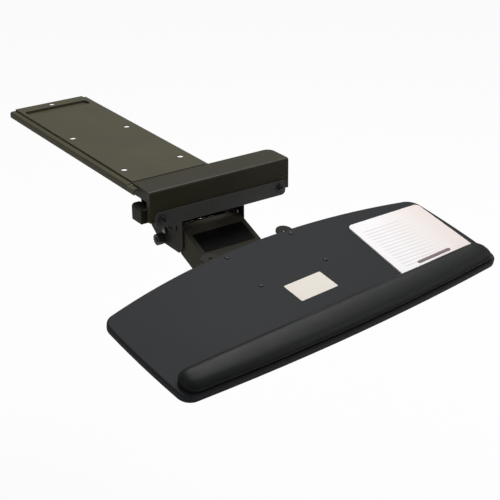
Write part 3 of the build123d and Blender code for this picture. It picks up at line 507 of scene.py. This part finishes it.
rest_square = 2.6 * MM
smoothing_rounds = 4
rest = remeshed(solid_copy("palm_rest"), rest_square)
rest.transform(from_board)
for _ in range(smoothing_rounds):
    bmesh.ops.smooth_vert(
        rest, verts=rest.verts, factor=0.5, use_axis_x=True, use_axis_y=True, use_axis_z=True
    )
print("palm rest squares", len(rest.faces))

# %% [markdown]
# Smoothing shrinks a shape a little, so the vertices are pushed back out along their
# normals. A gel filling also leaves slow, shallow waves in the cover, which three sine
# waves of different lengths give without any randomness. Toward both ends, and toward the
# person, the filling thins out, so the top comes down in a curve.

# %% Swell and wave the cover
rest_low, rest_top = 2 * MM, 18 * MM
swell, wave_height, side_pinch = 0.35 * MM, 0.10 * MM, 0.5 * MM
wave_share, pinch_share = 0.4, 0.25
rest_waves = ((1.0, 31.0, 0.0), (0.7, 53.0, 1.3), (0.5, 97.0, 0.4))
rest.normal_update()
for vertex in rest.verts:
    place = vertex.co
    height = (place.z - rest_low) / (rest_top - rest_low)
    push = swell
    if height > wave_share:
        wave = sum(size * sin(place.x * pace + start) for size, pace, start in rest_waves)
        push += wave_height * wave
    side = max(0.0, 1.0 - abs(height - pinch_share) / pinch_share)
    push -= side_pinch * side
    vertex.co = place + vertex.normal * push

rest_half, end_length = 318 * MM, 30 * MM
rest_back, rest_depth = -147 * MM, 45 * MM
level_share = 0.25
end_fall, front_fall, front_bend = 0.28, 0.42, 1.6
for vertex in rest.verts:
    ending = max(0.0, abs(vertex.co.x) - (rest_half - end_length)) / end_length
    forward = min(1.0, max(0.0, rest_back - vertex.co.y) / rest_depth)
    falling = max(0.0, forward - level_share) / (1.0 - level_share)
    height = max(vertex.co.z, rest_low) - rest_low
    height *= 1.0 - end_fall * ending * ending
    height *= 1.0 - front_fall * falling ** front_bend
    vertex.co.z = rest_low + height
rest.transform(to_board)
palm_rest = make_piece("palm_rest_cover", rest, rest_skin, "tray", ("palm_rest",))

# %% [markdown]
# ## The mouse pad
# The pad is thin foam under cloth. Its edge is cut, so it is square below and slightly
# rounded on top where the cloth is pressed to the foam. The top face of the solid's copy is
# drawn in twice, and the outer of the two rings that this leaves is let down the most.

# %% Mouse pad
pad = solid_copy("mouse_pad")
pad.transform(from_board)
bmesh.ops.dissolve_limit(pad, angle_limit=radians(1), verts=pad.verts, edges=pad.edges)
pad_top = max(vertex.co.z for vertex in pad.verts)
top_face = max(pad.faces, key=lambda face: face.calc_center_median().z)
outer_ring, inner_ring = (0.35 * MM, 0.8 * MM), (0.45 * MM, 0.25 * MM)
for inset, drop in (outer_ring, inner_ring):
    ring = list(top_face.verts)
    bmesh.ops.inset_region(pad, faces=[top_face], thickness=inset, use_even_offset=True)
    for vertex in ring:
        vertex.co.z = pad_top - drop
pad.transform(to_board)
mouse_pad = make_piece(
    "mouse_pad_cloth", pad, pad_cloth, "tray", ("mouse_pad",), smooth=False
)

# %% [markdown]
# ## Screw heads
# A round head is a profile turned about the screw's axis, and its crossed recess is a dark
# sink in the top. The head is made once, flat at the origin, then set on the board or on
# the release bar by a matrix. Only the head shows, so the shank stays as a plain stub.

# %% Screw heads
def turned(builder, profile, sides=28):
    """Add a turned shape about Z, from pairs of radius and height, and give its top face."""
    angles = [2 * pi * k / sides for k in range(sides)]
    rings = []
    for radius, height in profile:
        corners = [(radius * cos(angle), radius * sin(angle), height) for angle in angles]
        rings.append([builder.verts.new(corner) for corner in corners])
    for lower, upper in zip(rings, rings[1:]):
        for k in range(sides):
            following = (k + 1) % sides
            builder.faces.new((lower[k], lower[following], upper[following], upper[k]))
    builder.faces.new(list(reversed(rings[0])))
    return builder.faces.new(rings[-1])


def crossed_head(radius, height, shank_radius, shank_length):
    """A domed head with a crossed recess, its seat on the XY plane."""
    builder = bmesh.new()
    lid = turned(builder, [
        (shank_radius, -shank_length), (shank_radius, 0), (radius, 0), (radius, 0.35 * height),
        (0.94 * radius, 0.62 * height), (0.80 * radius, 0.85 * height), (0.60 * radius, height),
    ])
    arm, half = 0.46 * radius, 0.12 * radius
    sink_height, sink_share = 0.35 * height, 0.7
    cross = [
        (arm, -half), (arm, half), (half, half), (half, arm), (-half, arm), (-half, half),
        (-arm, half), (-arm, -half), (-half, -half), (-half, -arm), (half, -arm), (half, -half),
    ]
    rim = list(lid.edges)
    builder.faces.remove(lid)
    mouth = [builder.verts.new((x, y, height)) for x, y in cross]
    mouth_edges = [builder.edges.new((mouth[k - 1], mouth[k])) for k in range(len(mouth))]
    bmesh.ops.triangle_fill(builder, edges=rim + mouth_edges, use_beauty=True, normal=(0, 0, 1))
    inner = [face for face in builder.faces if all(vertex in mouth for vertex in face.verts)]
    bmesh.ops.delete(builder, geom=inner, context="FACES_ONLY")
    sink = [builder.verts.new((sink_share * x, sink_share * y, sink_height)) for x, y in cross]
    for k in range(len(cross)):
        builder.faces.new((mouth[k], mouth[k - 1], sink[k - 1], sink[k]))
    builder.faces.new(sink)
    bmesh.ops.recalc_face_normals(builder, faces=builder.faces)
    return builder


def copies_at(places, shape):
    """One bmesh with a copy of a shape at each place. The shape itself is used up."""
    whole = bmesh.new()
    for place in places:
        copy = shape.copy()
        copy.transform(place)
        mesh = bpy.data.meshes.new("copy")
        copy.to_mesh(mesh)
        copy.free()
        whole.from_mesh(mesh)
        bpy.data.meshes.remove(mesh)
    shape.free()
    return whole


def turn_about_z(degrees):
    """A turn about Z, so that no two recesses stand alike."""
    return Matrix.Rotation(radians(degrees), 4, "Z")


tray_screw_x, tray_screw_y = 68 * MM, 43 * MM
tray_screw_places = [
    to_board @ Matrix.Translation((x, y, 0)) @ turn_about_z(turn)
    for x, y, turn in (
        (-tray_screw_x, -tray_screw_y, 20),
        (tray_screw_x, -tray_screw_y, 65),
        (-tray_screw_x, tray_screw_y, 5),
        (tray_screw_x, tray_screw_y, 40),
    )
]
tray_head = crossed_head(
    radius=4.0 * MM, height=1.6 * MM, shank_radius=2.5 * MM, shank_length=16.5 * MM
)
tray_heads = copies_at(tray_screw_places, tray_head)
make_piece(
    "tray_screw_heads", tray_heads, bright_steel, "tray", ("tray_screws",)
)

bar_screw_reach, bar_screw_y, bar_screw_z = 118 * MM, -210.6 * MM, -49.5 * MM
facing_front = Matrix.Rotation(pi / 2, 4, "X")
bar_screw_places = [
    Matrix.Translation((x, bar_screw_y, bar_screw_z)) @ facing_front @ turn_about_z(turn)
    for x, turn in ((head_x - bar_screw_reach, 12), (head_x + bar_screw_reach, 50))
]
bar_head = crossed_head(
    radius=5.5 * MM, height=3.5 * MM, shank_radius=3.0 * MM, shank_length=9.6 * MM
)
bar_heads = copies_at(bar_screw_places, bar_head)
make_piece(
    "release_bar_screw_heads", bar_heads, bright_steel, "slide",
    ("release_bar_screws",),
)

# %% [markdown]
# ## Lift springs
# Two torsion springs sit on the arm's rear rod, end to end between the arm's side walls.
# Each is a wire wound along a helix, with its turns close together.

# %% Coils
def wound_wire(start, turns, coil_radius, wire_radius, pitch, sides=8, steps=36):
    """A tube along a helix about X, closed at both ends."""
    builder = bmesh.new()
    rings = []
    for k in range(turns * steps + 1):
        angle = 2 * pi * k / steps
        outward = Vector((0, cos(angle), sin(angle)))
        centre = Vector(start) + Vector((pitch * k / steps, 0, 0)) + outward * coil_radius
        ring = []
        for j in range(sides):
            turn = 2 * pi * j / sides
            away = outward * wire_radius * cos(turn)
            aside = Vector((wire_radius * sin(turn), 0, 0))
            ring.append(builder.verts.new(centre + away + aside))
        rings.append(ring)
    for first, second in zip(rings, rings[1:]):
        for j in range(sides):
            following = (j + 1) % sides
            builder.faces.new((first[j], first[following], second[following], second[j]))
    builder.faces.new(rings[0])
    builder.faces.new(rings[-1])
    bmesh.ops.recalc_face_normals(builder, faces=builder.faces)
    return builder


arm_half_width, arm_wall = 59 * MM, 2.5 * MM
spring_gap, spring_inset, spring_outer = 1 * MM, 6 * MM, 11.55 * MM
spring_length = arm_half_width - arm_wall - spring_inset - spring_gap / 2
spring_turns = 24
wire_radius = 1.0 * MM
coil_radius = spring_outer - wire_radius
spring_pitch = (spring_length - 2 * wire_radius) / spring_turns
spring_middle = (spring_gap + spring_length) / 2
spring_start = (-spring_length / 2 + wire_radius, 0, 0)
coil = wound_wire(spring_start, spring_turns, coil_radius, wire_radius, spring_pitch)
spring_places = [
    Matrix.Translation(arm_rod + Vector((side * spring_middle, 0, 0))) for side in (-1, 1)
]
coils = copies_at(spring_places, coil)
make_piece("lift_coils", coils, dark_steel, "slide", ("lift_springs",))

# %% [markdown]
# ## Camera
# The camera was found by matching edges of the object in the photograph. It stands left of
# and in front of the tray, and looks down at it through a long lens.

# %% Camera
camera_data = bpy.data.cameras.new("camera")
camera_data.sensor_width = 36.0
camera_data.lens = 90.23
camera_data.clip_end = 50.0
camera = bpy.data.objects.new("camera", camera_data)
scene.collection.objects.link(camera)
camera.location = (-0.98474, -1.83512, 0.76707)
camera.rotation_euler = (radians(64.944), radians(0.322), radians(-34.365))
scene.camera = camera

# %% [markdown]
# ## Floor and light
# The object hangs under a desk, so the floor lies well below it. The camera should see a
# white page, while the object should see only a plain soft light. A Light Path node keeps
# the two apart: the floor glows white for the camera and stays plain for everything else.

# %% Floor
floor_drop, floor_reach = 0.62, 9.0
floor_builder = bmesh.new()
bmesh.ops.create_grid(floor_builder, x_segments=2, y_segments=2, size=floor_reach)
bmesh.ops.translate(floor_builder, verts=floor_builder.verts, vec=(0, 0, -floor_drop))
floor_mesh = bpy.data.meshes.new("floor")
floor_builder.to_mesh(floor_mesh)
floor_builder.free()
floor = bpy.data.objects.new("floor", floor_mesh)
scene.collection.objects.link(floor)
floor_finish = Finish("white_floor", (0.82, 0.82, 0.82), 0.9, specular=0.0)
light_path = floor_finish.node("ShaderNodeLightPath")
glow = floor_finish.node("ShaderNodeEmission", None, {"Color": (1, 1, 1, 1), "Strength": 1.0})[0]
page_share = 0.93
seen = light_path["Is Camera Ray"] * page_share
page = floor_finish.node("ShaderNodeMixShader", None, {0: seen, 2: glow})[0]
floor_finish.tree.links.new(floor_finish.shader.outputs[0], page.socket.node.inputs[1])
output = floor_finish.tree.nodes["Material Output"]
floor_finish.tree.links.new(page.socket, output.inputs["Surface"])
floor_mesh.materials.append(floor_finish.material)

# %% [markdown]
# The world gives a weak, even light from all round, so the forms keep their shadows, and it
# too shows the camera plain white. One large lamp stands high behind the tray on its right,
# and two weaker ones fill in from the left and from the right. The lamps are large because
# a large lamp gives soft shadows and broad, quiet reflections in dark paint.

# %% World and lamps
room_strength, page_strength = 0.36, 1.0
world = bpy.data.worlds.new("soft_room")
scene.world = world
world.use_nodes = True
room = world.node_tree
room_light = room.nodes["Background"]
room_light.inputs["Color"].default_value = (1.0, 1.0, 1.0, 1.0)
room_light.inputs["Strength"].default_value = room_strength
page_light = room.nodes.new("ShaderNodeBackground")
page_light.inputs["Color"].default_value = (1.0, 1.0, 1.0, 1.0)
page_light.inputs["Strength"].default_value = page_strength
path = room.nodes.new("ShaderNodeLightPath")
blend = room.nodes.new("ShaderNodeMixShader")
room.links.new(path.outputs["Is Camera Ray"], blend.inputs[0])
room.links.new(room_light.outputs[0], blend.inputs[1])
room.links.new(page_light.outputs[0], blend.inputs[2])
room.links.new(blend.outputs[0], room.nodes["World Output"].inputs["Surface"])


def soft_lamp(name, place, target, width, height, power):
    """A large rectangular lamp that faces a point."""
    lamp_data = bpy.data.lights.new(name, "AREA")
    lamp_data.shape = "RECTANGLE"
    lamp_data.size = width
    lamp_data.size_y = height
    lamp_data.energy = power
    lamp = bpy.data.objects.new(name, lamp_data)
    scene.collection.objects.link(lamp)
    lamp.location = place
    lamp.rotation_euler = (Vector(target) - Vector(place)).to_track_quat("-Z", "Y").to_euler()


tray_middle = (0.07, -0.35, -0.08)
soft_lamp("top_light", (1.0, 0.5, 2.1), tray_middle, width=1.7, height=1.2, power=52.0)
soft_lamp("left_light", (-2.0, -0.6, 1.1), tray_middle, width=1.4, height=1.4, power=4.0)
soft_lamp("right_light", (2.0, -1.2, 1.0), tray_middle, width=1.2, height=1.2, power=8.0)

# %% [markdown]
# ## Finish
# The view transform is set to Standard, so colours show as they are set. The dressed
# object should stay inside the model's box, give or take a few millimetres of soft cover.

# %% Set the view transform
scene.view_settings.view_transform = "Standard"
